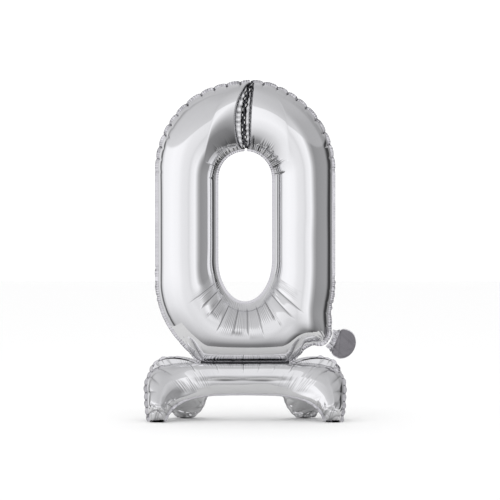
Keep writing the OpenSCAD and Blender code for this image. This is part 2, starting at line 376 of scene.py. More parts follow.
def outer_weld_line():
    """Outer weld in 3-D: pinched at each pleat of the seam and swinging front to back between them."""
    outward = upright(beside_line(OUTER))
    # the lower bend's weld lies flatter than the crown's, least so on the valve's side
    low_share = np.where(OUTER[:, 0] > 0, 0.35, 0.15)
    loose = np.maximum(UPPER, LOWER * low_share) * (OUTER[:, 1] >= NECK_Z + 1e-6)
    line = upright(OUTER) + outward * (loose * (0.4 - 2.6 * SEAM_PINCH ** 3))[:, None] * MM
    line[:, 1] += loose * SEAM_SWING * 2.4 * MM
    return line, outward, loose


INNER, OUTER, IN_FOOT = digit_welds()
S_IN, S_OUT = along(INNER), along(OUTER)
S_MID = along((INNER + OUTER) / 2)
TO_CROWN = np.minimum(S_MID, S_MID[-1] - S_MID)
NEAR_CROWN = bell(TO_CROWN, 50 * MM)
VALVE = arc(np.array([VALVE_ANGLE]), OUTER_R + 24 * MM, OUTER_R + 24 * MM, LOW_BEND_Z)[0]
TO_VALVE = np.linalg.norm(OUTER - VALVE, axis=1)
UPPER, LOWER = bends()
COUNTER_BENDS = counter_bends()
# the crest of the tube cuts the corners, less so by the valve, where it bulges into the corner
OUTER_SOFT = softened(OUTER, (34 - 20 * bell(TO_VALVE, 75 * MM)) * MM)
SEAM_SWING = np.sin(np.pi * (S_OUT / SEAM_PITCH + 0.3 * wander(S_OUT, 70 * MM, 5)))
SEAM_PETAL = np.abs(SEAM_SWING)
SEAM_PINCH = 1 - SEAM_PETAL
WELD_LINE, OUTWARD, LOOSE = outer_weld_line()

# ---------------------------------------- the digit's films
#
# A film is a grid with a row at each station of the welds and a column at each angle round the tube. Every
# fold below gives a height off the film, and a painted shade that says how far the foil's colour is
# darkened in it.

TAU = np.linspace(0, math.pi, int(88 * FINE) + 1)      # angle, from the counter's weld to the outer weld
T = TAU / math.pi
STATION = np.arange(len(INNER))
ON_LEFT = (STATION > len(INNER) // 2)[:, None]


def crown_skirt():
    """Width of the petals beside the crown weld, wider on the left and narrowing to both ends."""
    arch = np.sin(np.pi * np.clip(T, 0.02, 0.98)) ** 0.7 * (1 - 0.42 * smooth(0.50, 0.92, T))
    return (8.5 + 3.0 * ON_LEFT) * MM * arch


def crown_fill(beside):
    """How full the tube is beside the crown weld: a long slope, a steep wall, then a gathered skirt."""
    longest = 92 * MM
    slope = longest * np.where(ON_LEFT, 1 - 0.96 * T ** 2.2, 1 - 0.80 * T ** 5)
    shallow = 1 - 0.46 * (1 - np.clip(beside / slope, 0, 1)) ** 1.1 * (slope / longest)
    skirt = crown_skirt()
    wall = np.clip((beside - skirt) / (8 * MM), 0, 1)
    steep = 0.10 + 0.05 * np.clip(beside / skirt, 0, 1) + 0.85 * (1 - (1 - wall) ** 2.6) ** (1 / 1.2)
    return shallow * steep * (0.2 + 0.8 * smooth(0, 3.5 * MM, beside))


def inflated(side):
    """The tube before it is folded, and how far each of its points is to the side of the crown weld."""
    far_off = 1.0
    # the outer weld's corners only show near the weld
    hard = smooth(0.62, 1.0, T)[:, None]
    inner = INNER[:, None, :]
    outer = OUTER_SOFT[:, None, :] * (1 - hard) + OUTER[:, None, :] * hard
    flat = (inner + outer) / 2 - (outer - inner) / 2 * np.cos(TAU)[:, None]
    beside = np.where(TO_CROWN[:, None] < 150 * MM, np.abs(flat[..., 0]) - GAP, far_off)
    y = side * HALF_DEPTH * crown_fill(beside) * np.sin(TAU)
    return np.stack([flat[..., 0], y, flat[..., 1]], axis=-1), beside


def counter_fans(seed):
    """Fine pleats that fan out from the counter's bends, with painted shade in the pleats and a ring of
    painted shade at its top.
    """
    pitch, rise = 3.6 * MM, 1.1 * MM
    fine = pleats(S_IN, pitch, seed + 1, 0.5)
    strength = 0.55 + 0.45 * wander(S_IN, 16 * MM, seed + 2)
    ragged = 0.24 + 0.10 * wander(S_IN, 7 * MM, seed + 22)[:, None]
    fan = between(0.02, 0.08, ragged - 0.10, ragged + 0.05, T)
    gathered = COUNTER_BENDS * UPPER * smooth(-0.2, 0.7, wander(S_IN, 22 * MM, seed + 21))
    painted_ring_shade = COUNTER_BENDS * UPPER * (0.22 + 0.40 * (1 - fine))
    height = (COUNTER_BENDS * fine * strength)[:, None] * fan * rise
    shade = (gathered * (1 - fine) ** 2)[:, None] * fan * 1.2
    return height, shade + painted_ring_shade[:, None] * (1 - smooth(0.08, 0.20, T))


def counter_tucks(seed):
    """Deeper tucks over the top of the counter, longer and further apart on the right, darkened with
    painted shade.
    """
    right_pitch, left_pitch, depth = 11 * MM, 7 * MM, 2.6 * MM
    right = uneven(13 * MM, 90 * MM, right_pitch, seed + 51, 0.35)
    left = S_IN[-1] - uneven(14 * MM, 98 * MM, left_pitch, seed + 52, 0.35)
    stop = np.where(STATION < len(INNER) // 2, 0.28, 0.19) + 0.05 * wander(S_IN, 6 * MM, seed + 53)
    stop = stop[:, None]
    tuck = cusps(S_IN, right, 1.0 * MM) + 0.8 * cusps(S_IN, left, 0.8 * MM)
    tucked = tuck[:, None] * between(0.03, 0.08, stop - 0.06, stop, T)
    return -tucked * depth, tucked ** 1.3 * 0.9


def lower_flutes(seed):
    """Flat panels under the counter, each tilted its own way, between sharp creases and finely creased,
    with painted shade in the creases.
    """
    panel_width, fine_pitch = 15.5 * MM, 2.5 * MM
    bulge, crease_depth, fine_rise = 0.9 * MM, 2.6 * MM, 1.15 * MM
    first, last = S_IN[IN_FOOT][0], S_IN[IN_FOOT][-1]
    creases = uneven(first + 30 * MM, last - 22 * MM, panel_width, seed + 3, 0.48)
    edges = np.concatenate([[creases[0] - 14 * MM], creases, [creases[-1] + 14 * MM]])
    panel = np.searchsorted(creases, S_IN)
    middle = (edges[panel] + edges[panel + 1]) / 2
    across = np.clip((S_IN - middle) / (edges[panel + 1] - edges[panel]), -0.5, 0.5)
    rng = np.random.default_rng(seed + 31)
    stop = 0.50 + 0.07 * rng.uniform(-1, 1, len(edges))[panel][:, None]
    tilt = rng.uniform(-1, 1, len(edges))[panel]
    sway = 1.2 * MM * rng.uniform(-1, 1, len(creases))[:, None, None] * np.sin(5 * T)
    in_foot = between(first + 24 * MM, first + 56 * MM, last - 56 * MM, last - 24 * MM, S_IN)[:, None]
    reach = in_foot * between(0.15, 0.24, stop - 0.09, stop, T)
    crease_and_painted_shade = spike(S_IN[:, None] - creases[:, None, None] - sway, 0.6 * MM).max(axis=0)
    fine = pleats(S_IN, fine_pitch, seed + 32, 0.6)[:, None] ** 0.5
    patchy = smooth(-0.5, 0.6, wander(S_IN, 12 * MM, seed + 33))[:, None]
    # painted shade: a dark patch where some of the fine creases end
    ends = bell(T - (stop - 0.055 + 0.015 * fine), 0.020)
    painted_end_shade = smooth(0.1, 0.5, wander(S_IN, 17 * MM, seed + 34))[:, None] * (0.35 + 0.65 * (1 - fine))
    panels = (1.6 * MM * tilt * across + bulge - 2.4 * MM * across ** 2)[:, None]
    height = reach * (panels - crease_depth * crease_and_painted_shade + fine_rise * patchy * fine)
    shade = reach * (0.85 * crease_and_painted_shade ** 1.6 + 0.5 * patchy * (1 - fine) ** 1.5)
    return height, shade + in_foot * painted_end_shade * ends * 0.85


def seam_valleys(seed):
    """Valleys that run in from each pleat of the outer weld, with puffed film between them and painted
    shade in the valleys.
    """
    puff_rise, valley_depth = 0.9 * MM, 3.2 * MM
    length = 0.16 + 0.05 * wander(S_OUT, 40 * MM, seed + 4)[:, None]
    inward = np.clip(1 - (1 - T) / length, 0, 1) * (1 - smooth(0.965, 1.0, T))
    height = LOOSE * (puff_rise * SEAM_PETAL ** 0.8 - valley_depth * SEAM_PINCH ** 4)
    return height[:, None] * inward, (LOOSE * SEAM_PINCH ** 8)[:, None] * inward * 0.9


def neck_gathers(seed):
    """Small pleats and a low swelling where the film gathers into the neck weld, with painted shade in the
    pleats and a dark band of painted shade at the weld.
    """
    rise = 0.8 * MM
    on_neck = 1 - smooth(NECK_HALF - 10 * MM, NECK_HALF + 6 * MM, np.abs(OUTER[:, 0]))
    on_neck = (on_neck * (OUTER[:, 1] < LOW_BEND_Z))[:, None]
    gather = between(0.80, 0.93, 0.985, 1.0, T)
    swelling = between(0.84, 0.94, 0.975, 1.0, T)
    fine = pleats(S_OUT, NECK_PITCH, seed + 5)[:, None]
    height = on_neck * (fine * gather + swelling) * rise
    return height, on_neck * (1.3 * smooth(0.95, 0.98, T) + 0.5 * (1 - fine) ** 2 * gather)


def neck_corner_folds(grid):
    """A puffed fold that runs up from each end of the neck, between two creases, with painted shade along
    the inner crease.
    """
    height = shade = 0
    ridge_at, ridge_rise = -5 * MM, 4.2 * MM
    inner_at, inner_depth = 5 * MM, 5.0 * MM
    outer_at, outer_depth = -13 * MM, 1.8 * MM
    for way in (-1, 1):
        corner = np.array([way * NECK_HALF, NECK_Z])
        heading = np.array([way * 0.52, 0.854])
        rel = grid[..., [0, 2]] - corner
        run = rel @ heading
        off = rel @ np.array([-heading[1] * way, heading[0] * way]) + 1.8 * MM * np.sin(run / (11 * MM))
        reach = between(-4 * MM, 6 * MM, 36 * MM, 66 * MM, run)
        profile = ridge_rise * bell(off - ridge_at, 5 * MM)
        profile -= inner_depth * spike(off - inner_at, 2.6 * MM)
        profile -= outer_depth * spike(off - outer_at, 2.2 * MM)
        height = height + reach * profile
        shade = shade + reach * spike(off - inner_at, 1.2 * MM) * 0.7
    return height, shade


def valve_crumples(grid, seed):
    """Short folds that fan out from the valve, darkened with painted shade."""
    radius, depth = 17 * MM, 2.4 * MM
    folds_per_turn = 11
    rel = grid[..., [0, 2]] - VALVE
    dist = np.linalg.norm(rel, axis=2)
    bearing = np.arctan2(rel[..., 1], rel[..., 0])
    close = bell(dist, radius) * smooth(2 * MM, 9 * MM, dist)
    fold = close * (1 - np.abs(np.sin(bearing * folds_per_turn / 2 + seed))) ** 3
    return -fold * depth, fold ** 2 * 0.7


def crown_petals(z, beside):
    """Petals where the film gathers into the crown weld, with painted shade as dark lines between them, a
    dark core and a dark line at the foot of the wall.
    """
    offset, rise, core_width = 4.1 * MM, 2.4 * MM, 3.6 * MM
    puff = pleats(z + ON_LEFT * offset, PETAL_PITCH, 6, 0.45) ** 0.5
    skirt = crown_skirt()
    shut = np.sin(np.pi * np.clip(beside / (skirt + 2 * MM), 0, 1)) ** 0.6
    lines = np.exp(-(beside / (skirt + 1 * MM)) ** 6) * (1 - puff) ** 2.2 * 1.5
    core = bell(beside, core_width) * 1.1
    wall = bell(beside - skirt - 1 * MM, 0.9 * MM) * 0.55 * np.sin(TAU)
    return shut * (puff - 0.55) * rise * np.sin(TAU) ** 0.5, lines + core + wall


def crown_zigzag(z, beside):
    """Sideways steps of the crown weld's edge."""
    pitch, reach, step = 11.5 * MM, 5 * MM, 1.1 * MM
    steps = np.sin(2 * np.pi * z / pitch + 1.5 * wander(z, 18 * MM, 9))
    return steps * bell(beside, reach) * step


def long_hollows(seed):
    """Long soft hollows in the sides, as film has when it isn't drum tight."""
    depth = 0.7 * MM
    away_from_crown = np.minimum(1, TO_CROWN / (60 * MM))[:, None]
    hollow = wander(S_MID, 90 * MM, seed + 7)[:, None] * np.sin(TAU * 2 + 0.6)
    hollow = hollow + 0.6 * wander(S_MID, 55 * MM, seed + 8)[:, None] * np.sin(TAU * 3 + 1.1)
    return hollow * depth * away_from_crown * np.sin(TAU), 0


def added(folds):
    """Height and painted shade of several folds together."""
    heights, shades = zip(*folds)
    return sum(heights), sum(shades)


def digit_film(side, seed):
    """One sheet of the digit, and the painted shade at each of its points."""
    grid, beside = inflated(side)
    # the outer weld's pleats pull the film's edge with them
    edge = np.exp(-(1 - T) / 0.055)
    grid += (WELD_LINE - upright(OUTER))[:, None, :] * edge[:, None]
    grid[..., 0] += NEAR_CROWN[:, None] * slit_x(grid[..., 2])
    out = normals(grid)
    out *= np.sign((out[..., 1] * side).mean())
    z = grid[..., 2].copy()
    height, shade = added([counter_fans(seed), counter_tucks(seed), lower_flutes(seed), seam_valleys(seed),
                           neck_gathers(seed), neck_corner_folds(grid), valve_crumples(grid, seed),
                           crown_petals(z, beside), long_hollows(seed)])
    grid[..., 0] += crown_zigzag(z, beside)
    grid += out * (height * np.minimum(1, np.sin(TAU) * 9))[..., None]
    # neither sheet crosses the weld
    grid[..., 1] = side * np.maximum(side * grid[..., 1], side * WELD_LINE[:, 1][:, None] * edge)
    grid[..., 0] += MID_X
    return grid, shade


# ---------------------------------------- the digit's welds

def flange(line, outward, width, ruffle, seed, cols=5):
    """A welded band that runs out from a weld line, ruffled front to back, with painted shade between its
    ruffles.
    """
    f = np.linspace(0, 1, cols)
    grid = line[:, None, :] + outward[:, None, :] * (width[:, None] * f)[..., None]
    s = along(line)
    folds = pleats(s, 5.2 * MM, seed, 0.7)
    small = (folds - 0.6 + 0.8 * wander(s, 8 * MM, seed + 1)) * ruffle
    grid[..., 1] += small[:, None] * f ** 1.2
    grid[..., 0] += MID_X
    return grid, (1 - folds)[:, None] ** 3 * f ** 0.5 * 0.8


def crushed_lengths():
    """Where the outer weld is crushed: above and below the valve, in a run on the left, beside the neck."""
    z = OUTER[:, 1]
    above_neck = smooth(134 * MM, 150 * MM, z)
    right = smooth(330 * MM, 295 * MM, z) * above_neck
    left = smooth(345 * MM, 328 * MM, z) * smooth(245 * MM, 262 * MM, z)
    left = left + smooth(190 * MM, 165 * MM, z) * above_neck
    return np.where(OUTER[:, 0] > 0, right, 0.8 * left)


def outer_seam():
    """The outer weld's two bands, from the crown to the neck on each side."""
    at_valve = bell(TO_VALVE, 16 * MM)
    crushed = crushed_lengths()
    ragged = crushed * wander(S_OUT, 7 * MM, 71)
    width = (5.6 + LOOSE * (1.1 * SEAM_PETAL - 1.2) + 1.4 * at_valve + 1.4 * ragged) * MM
    ruffle = (0.7 + 1.5 * LOOSE + 2.4 * crushed) * MM * (1 - 0.7 * at_valve)
    swing = (1.2 * LOOSE * SEAM_SWING + 0.15) * MM * (1 - 0.8 * at_valve)
    shading = 0.25 + 0.75 * np.maximum(LOOSE, crushed)
    pinch = SEAM_PINCH ** 6 * LOOSE
    line = WELD_LINE.copy()
    line[:, 0] += NEAR_CROWN * slit_x(line[:, 2])
    off_neck = OUTER[:, 1] > NECK_Z + 0.5 * MM
    half = len(OUTER) // 2
    bands = []
    for name, part in (("right", STATION < half), ("left", STATION >= half)):
        ok = part & off_neck
        grid, dark = flange(line[ok], OUTWARD[ok], width[ok], ruffle[ok], 21, 7)
        grid[..., 1] += swing[ok][:, None] * np.linspace(0, 1, grid.shape[1])
        # painted shade: darker where the weld is crushed or loose and at each pinch, and a dark line along
        # the band's outer edge
        dark = dark * shading[ok][:, None] + pinch[ok][:, None]
        dark[:, -1] += 0.55
        bands.append(mesh_from_grid("digit_seam_" + name, grid, crease_and_painted_shade=dark))
    return bands


def counter_band():
    """The weld round the counter, which runs into the hole."""
    line = upright(INNER)
    line[:, 0] += NEAR_CROWN * slit_x(line[:, 2])
    width = np.full(len(line), 4.6 * MM)
    ruffle = (0.25 + 0.9 * UPPER) * MM
    grid, dark = flange(line, -upright(beside_line(INNER)), width, ruffle, 33)
    # painted shade between the ruffles, strongest on the upper bend
    dark = dark * (0.15 + 0.85 * UPPER)[:, None]
    return mesh_from_grid("counter_seam_band", grid, flip=True, crease_and_painted_shade=dark)


def crown_band():
    """The weld across the tube at the crown, gathered into small folds."""
    z = np.linspace(COUNTER_TOP_Z + 2 * MM, CROWN_Z + 4 * MM, int(220 * FINE))
    across = np.linspace(-1, 1, 9)
    zigzag = np.sin(z / (5.8 * MM) + 0.8 * wander(z, 20 * MM, 3))
    grid = np.empty((len(z), len(across), 3))
    grid[..., 0] = MID_X + slit_x(z)[:, None] + across * 2.6 * MM + (zigzag * 0.8 * MM)[:, None]
    grid[..., 1] = (zigzag * 1.2 * MM)[:, None] * (1 - across ** 2)
    grid[..., 2] = z[:, None]
    return mesh_from_grid("crown_band", grid)


def neck_band():
    """The weld between the digit and the pads, gathered into small upright folds."""
    x = np.linspace(-NECK_HALF, NECK_HALF, int(420 * FINE))
    f = np.linspace(0, 1, 7)
    grid = np.empty((len(x), len(f), 3))
    grid[..., 0] = MID_X + x[:, None]
    grid[..., 1] = ((pleats(x, NECK_PITCH, 16) - 0.5) * 1.6 * MM)[:, None] * np.sin(np.pi * f)
    grid[..., 2] = HINGE_Z + (NECK_Z - HINGE_Z) * f
    return mesh_from_grid("neck_band", grid)


# ---------------------------------------- the pads' outlines
#
# Each edge is one half, in mm: a straight neck, a curve over the shoulder and a curve down to the foot.

FOOT_Z = 1.5
PAD_TOP = HINGE_Z / MM - 3
ARCH_Z = 58
NECK_END = NECK_HALF / MM
FRONT_OUTER = [[[0, PAD_TOP], [NECK_END, PAD_TOP]],
               [[NECK_END, PAD_TOP], [176, PAD_TOP - 3], [222, 118], [213, 56]],
               [[213, 56], [213, 36], [211, 18], [206, FOOT_Z]]]
FRONT_INNER = [[[0, ARCH_Z], [60, ARCH_Z - 1]],
               [[60, ARCH_Z - 1], [112, ARCH_Z - 3], [142, 44], [160, 26]],
               [[160, 26], [166, 18], [171, 9], [174, FOOT_Z]]]
REAR_OUTER = [[[0, PAD_TOP], [NECK_END, PAD_TOP]],
              [[NECK_END, PAD_TOP], [128, 134], [206, 150], [204, 92]],
              [[204, 92], [196, 58], [166, 24], [144, FOOT_Z]]]
REAR_INNER = [[[0, ARCH_Z], [58, ARCH_Z - 1]],
              [[58, ARCH_Z - 1], [80, ARCH_Z - 2], [87, 50], [90, 36]],
              [[90, 36], [93, 24], [103, 12], [116, FOOT_Z]]]
NECK_SHARE = 0.3            # share of the way from the middle to a foot where the neck ends
SHOULDER_SHARE = 0.8        # and where the shoulder ends
OUTER_RISE = 34 * MM        # how far the outer film bulges
INNER_RISE = 24 * MM
PAD_SEAM_PITCH = 15.5 * MM  # of the pleats down the side of each leg


def pad_stations():
    """Places along a pad from -1, the left foot, to 1, the right foot, closer together at the feet."""
    f = np.linspace(-1, 1, int(520 * FINE) | 1)
    return np.sign(f) * (1 - (1 - np.abs(f)) ** 1.25)


PAD_Q = pad_stations()
PAD_F = np.abs(PAD_Q)                       # share of the way from the middle to a foot
PAD_TAU = np.linspace(0, math.pi, int(64 * FINE) + 1)      # angle, from the arch's weld to the outer weld
PAD_T = PAD_TAU / math.pi


def pad_edge(parts):
    """Edge of a pad in x and z at each of its stations."""
    neck, shoulder, foot = parts
    start, stop = np.array(neck[0]), np.array(neck[1])
    straight = start + (stop - start) * (PAD_F / NECK_SHARE)[:, None]
    over = bezier(shoulder, np.clip((PAD_F - NECK_SHARE) / (SHOULDER_SHARE - NECK_SHARE), 0, 1))
    down = bezier(foot, np.clip((PAD_F - SHOULDER_SHARE) / (1 - SHOULDER_SHARE), 0, 1))
    line = np.where((PAD_F < SHOULDER_SHARE)[:, None], over, down)
    line = np.where((PAD_F < NECK_SHARE)[:, None], straight, line)
    line[:, 0] *= np.sign(PAD_Q)
    return line * MM


def lean(side, flat, n, pull=0.0):
    """Stands a pad's flat points on its leaning plane, n out along its normal, less a pull inwards."""
    drop = HINGE_Z - flat[..., 1]
    y = drop * math.tan(PAD_LEAN) - pull + n * math.cos(PAD_LEAN)
    y = np.maximum(y, np.maximum(drop, 0) * math.tan(PAD_SWING) + 0.5 * MM)
    z = np.maximum(flat[..., 1] + n * math.sin(PAD_LEAN), 0)
    return np.stack([MID_X + flat[..., 0], side * y, z], axis=-1)


def arch_pull():
    """How far the bulging film draws the arch's weld in."""
    return 9 * MM * (1 - smooth(0.25, 0.62, PAD_F))[:, None]


def side_pleats(s, seed):
    """Swing, from -1 to 1, of the pleats down the side of each leg."""
    return np.sin(np.pi * (s / PAD_SEAM_PITCH + 0.3 * wander(s, 45 * MM, seed + 9)))


# ---------------------------------------- the pads' films

def bulging(outward):
    """How far a pad's film stands off the plane of its welds before it is folded."""
    foot = np.clip((PAD_F - SHOULDER_SHARE) / (1 - SHOULDER_SHARE), 0, 1)
    height = (OUTER_RISE if outward else INNER_RISE) * np.sqrt(np.clip(1 - foot ** 2.4, 0, 1))
    height = np.maximum(height, 1.2 * MM)[:, None]
    if not outward:
        return height * (0.8 + 0.2 * smooth(0, 0.6, PAD_F))[:, None] * np.sin(PAD_TAU)
    # over the arch the crest lies nearer the top and is sharper
    turn = PAD_T ** (1 + 0.50 * (1 - smooth(0.40, 0.75, PAD_F)))[:, None]
    sharp = 0.40 * (1 - smooth(0.34, 0.60, PAD_F))[:, None]
    peak = np.maximum(1 - np.sqrt((2 * turn - 1) ** 2 + 0.02), 0) / 0.86
    return height * ((1 - sharp) * np.sin(math.pi * turn) + sharp * peak)


def top_gathers(s_out, seed):
    """Fine pleats along the top weld, a dark line of painted shade along the weld, and a few longer
    creases, with painted shade in the pleats and creases.
    """
    pitch, rise = 4.6 * MM, 1.0 * MM
    crease_spacing, crease_depth = 48 * MM, 1.8 * MM
    gathered = (1 - smooth(0.36, 0.54, PAD_F))[:, None]
    top = between(0.58, 0.80, 0.975, 1.0, PAD_T)
    tuck = pleats(s_out, pitch, seed, 0.6)[:, None]
    strength = 0.7 + 0.3 * wander(s_out, 20 * MM, seed + 1)[:, None]
    at_weld = (1 - smooth(0.55, 0.62, PAD_F))[:, None] * smooth(0.975, 1.0, PAD_T)
    places = uneven(s_out[0], s_out[-1], crease_spacing, seed + 41, 0.4)
    upper = gathered * smooth(0.50, 0.66, PAD_T)
    height = gathered * tuck ** 0.6 * strength * top * rise
    height -= cusps(s_out, places, 1.0 * MM)[:, None] * upper * crease_depth
    shade = gathered * (1 - tuck) ** 2 * top * 0.85 + at_weld
    return height, shade + cusps(s_out, places, 0.6 * MM)[:, None] * upper * 0.6


def leg_fans(s_out, seed):
    """Fans of pleats where the arch bends into the legs, with painted shade in the pleats."""
    pitch, rise, at = 5.4 * MM, 1.7 * MM, 0.43
    arm = bell(PAD_F - at, 0.10) * (0.65 + 0.35 * wander(s_out, 14 * MM, seed + 46))
    ragged = 0.50 + 0.13 * wander(s_out, 8 * MM, seed + 42)[:, None]
    fan = arm[:, None] * between(0.20, 0.30, ragged - 0.12, ragged + 0.04, PAD_T)
    tuck = pleats(s_out, pitch, seed + 2, 0.9)[:, None]
    return tuck ** 0.6 * fan * rise, (1 - tuck) ** 2 * fan * 0.8


def arch_fold(s_out, seed):
    """A long fold over the arch and down each leg: a ridge with a crease under it, darkened in places with
    painted shade.
    """
    ridge_rise, crease_depth = 1.6 * MM, 1.4 * MM
    ridge_at, crease_below = 0.47, 0.075
    share = (1 - smooth(0.30, 0.44, PAD_F)) * (0.7 + 0.3 * wander(s_out, 50 * MM, seed + 47))
    ridge = share + 0.8 * between(0.34, 0.5, 0.66, 0.80, PAD_F)
    off = PAD_T - ridge_at - 0.005 * wander(s_out, 60 * MM, seed + 48)[:, None]
    streak = smooth(-0.4, 0.5, wander(s_out, 60 * MM, seed + 49)) * (1 - smooth(0.18, 0.32, PAD_F))
    height = ridge[:, None] * spike(off, 0.045) * ridge_rise
    height -= share[:, None] * bell(off + crease_below, 0.026) * crease_depth
    return height, streak[:, None] * bell(off + crease_below, 0.020) * 0.85


def leg_insides(s_in, seed):
    """A long hollow down the inside of each leg, and crumples along its weld, with painted shade in the
    crumples' creases.
    """
    hollow_depth, crumple_depth, facet_size = 2.6 * MM, 2.4 * MM, 8 * MM
    hollow = between(0.46, 0.60, 0.80, 0.90, PAD_F)[:, None] * bell(PAD_T - 0.24, 0.07)
    facet, crease_and_painted_shade = crinkle(s_in[:, None], PAD_T * 70 * MM, facet_size, seed + 3)
    crumpled = bell(PAD_F - 0.80, 0.10)[:, None] * between(0.0, 0.04, 0.16, 0.34, PAD_T)
    return crumpled * facet * crumple_depth - hollow * hollow_depth, crumpled * crease_and_painted_shade ** 2 * 0.8


def flank_pleats(s_out, seed):
    """Pleats of the outer weld down the side of each leg, with painted shade in them."""
    depth = 3.0 * MM
    flank = smooth(0.50, 0.62, PAD_F)
    pinch = (1 - np.abs(side_pleats(s_out, seed))) ** 3
    near_edge = between(0.80, 0.97, 0.985, 1.0, PAD_T)
    height = -(flank * pinch)[:, None] * near_edge * depth
    return height, (flank * pinch ** 2)[:, None] * near_edge * 0.9


def shoulder_creases():
    """Long creases with flat facets between, over each shoulder, with painted shade along the creases."""
    height = shade = 0
    reach = between(0.52, 0.70, 0.93, 1.0, PAD_T)
    # place along the pad, tilt, depth in mm and width
    creases = ((0.56, 0.10, 3.0, 0.028), (0.68, -0.10, 3.4, 0.034), (0.79, 0.05, 2.6, 0.026))
    for at, tilt, depth, width in creases:
        line = spike(PAD_F[:, None] - at - tilt * (PAD_T - 0.75), width)
        height = height - line * reach * depth * MM
        shade = shade + line ** 4 * reach * 0.45
    return height, shade


def toes(s_out, seed):
    """Folds gathered into the weld across each foot, with painted shade along their creases."""
    depth, facet_size = 3.2 * MM, 8 * MM
    toe = smooth(0.84, 0.95, PAD_F)[:, None]
    facet, crease_and_painted_shade = crinkle(s_out[:, None], PAD_T * 48 * MM, facet_size, seed + 44)
    return toe * facet * depth, toe * crease_and_painted_shade ** 2 * 0.7


def pad_hollows(s_out, seed):
    """Long soft hollows."""
    return wander(s_out, 60 * MM, seed + 5)[:, None] * np.sin(2 * PAD_TAU + 0.5) * 0.9 * MM, 0


def pad_film(side, inner, outer, outward, seed):
    """One film of a pad, and the painted shade at each of its points."""
    s_out, s_in = along(outer), along(inner)
    folds = [top_gathers(s_out, seed), leg_fans(s_out, seed), leg_insides(s_in, seed),
             flank_pleats(s_out, seed), shoulder_creases(), toes(s_out, seed), pad_hollows(s_out, seed)]
    if outward:
        folds.append(arch_fold(s_out, seed))
    height, shade = added(folds)
    n = np.maximum(bulging(outward) + height * np.minimum(1, np.sin(PAD_TAU) * 7), 0)
    flat = ((inner + outer) / 2)[:, None, :] - ((outer - inner) / 2)[:, None, :] * np.cos(PAD_TAU)[:, None]
    pull = arch_pull() * (1 - PAD_T) ** 1.2
    return lean(side, flat, n if outward else -n, pull), shade


# ---------------------------------------- the pads' welds

def pad_band(name, side, line, at_arch, loose, seed):
    """The welded band along one edge of a pad."""
    outward = beside_line(line) * (-1 if at_arch else 1)
    s = along(line)
    swing = side_pleats(s, seed)
    petal = np.abs(swing)
    width = (3.0 + loose * (0.8 + 2.4 * petal)) * MM
    f = np.linspace(0, 1, 5)
    flat = line[:, None, :] + outward[:, None, :] * (width[:, None] * f)[..., None]
    n = (loose * swing * 2.0 + 0.5 * wander(s, 4 * MM, seed + 1))[:, None] * f * MM
    grid = lean(side, flat, n, arch_pull() if at_arch else 0.0)
    # painted shade: dark at each pinch of the loose runs, and a dark line along the band's outer edge
    dark = np.repeat((loose * (1 - petal) ** 5)[:, None], len(f), axis=1)
    dark[:, -1] += 0.7 if at_arch else 0.4
    return mesh_from_grid(name, grid, (side > 0) != at_arch, dark)


def foot_band(name, side, outer_parts, inner_parts, way, seed):
    """The crumpled weld across the end of one foot, pressed flat on the floor."""
    x0, x1 = sorted(way * parts[2][3][0] for parts in (outer_parts, inner_parts))
    x = np.linspace(x0 * MM, x1 * MM, 60)
    f = np.linspace(0, 1, 12)
    y_mid = (HINGE_Z - FOOT_Z * MM) * math.tan(PAD_LEAN)
    crumple = wander(x, 5 * MM, seed) * 1.2 * MM
    grid = np.empty((len(x), len(f), 3))
    grid[..., 0] = MID_X + x[:, None]
    grid[..., 1] = side * (y_mid + (f - 0.5) * 7 * MM + crumple[:, None] * f)
    grid[..., 2] = 0.2 * MM + 1.6 * MM * (1 - pleats(x, 6 * MM, seed + 1))[:, None] * np.sin(np.pi * f)
    return mesh_from_grid(name, grid, flip=side > 0)


# ---------------------------------------- the filling tail

def tail_half_width(x, mouth, end):
    """Half of the tail's width: a ragged collar as far as the mouth, then a round end."""
    centre = mouth + 15 * MM
    near = np.clip((centre - x) / (15 * MM), 0, 1)
    far = np.clip((x - centre) / (end - centre), 0, 1)
    disc = 33 * MM * (1 - 0.16 * near ** 2.5) * (1 - far ** 2.2) ** (1 / 1.9)
    collar = 20 * MM + 8 * MM * smooth(0, mouth, x) + 2.5 * MM * wander(x, 3 * MM, 60)
    return np.maximum(np.where(x < mouth, collar, disc), 0.4 * MM)


def tail_folds(x, across, mouth):
    """Height and painted shade of the tail's crumples, deepest in the collar."""
    facet, crease_and_painted_shade = crinkle(x[:, None], across, 4 * MM, 66)
    deep = wander(x, 4 * MM, 61)[:, None] * wander(across, 6 * MM, 62) * 3.0
    deep = deep + wander(across, 4 * MM, 63) * 1.4
    height = deep * MM * (1 - smooth(mouth, mouth + 6 * MM, x))[:, None]
    height = height + wander(across, 12 * MM, 64) * wander(x, 12 * MM, 65)[:, None] * 0.8 * MM
    in_collar = (1 - smooth(mouth, mouth + 4 * MM, x))[:, None]
    return height + facet * 0.45 * MM, crease_and_painted_shade ** 2 * (0.25 + 0.55 * in_collar)


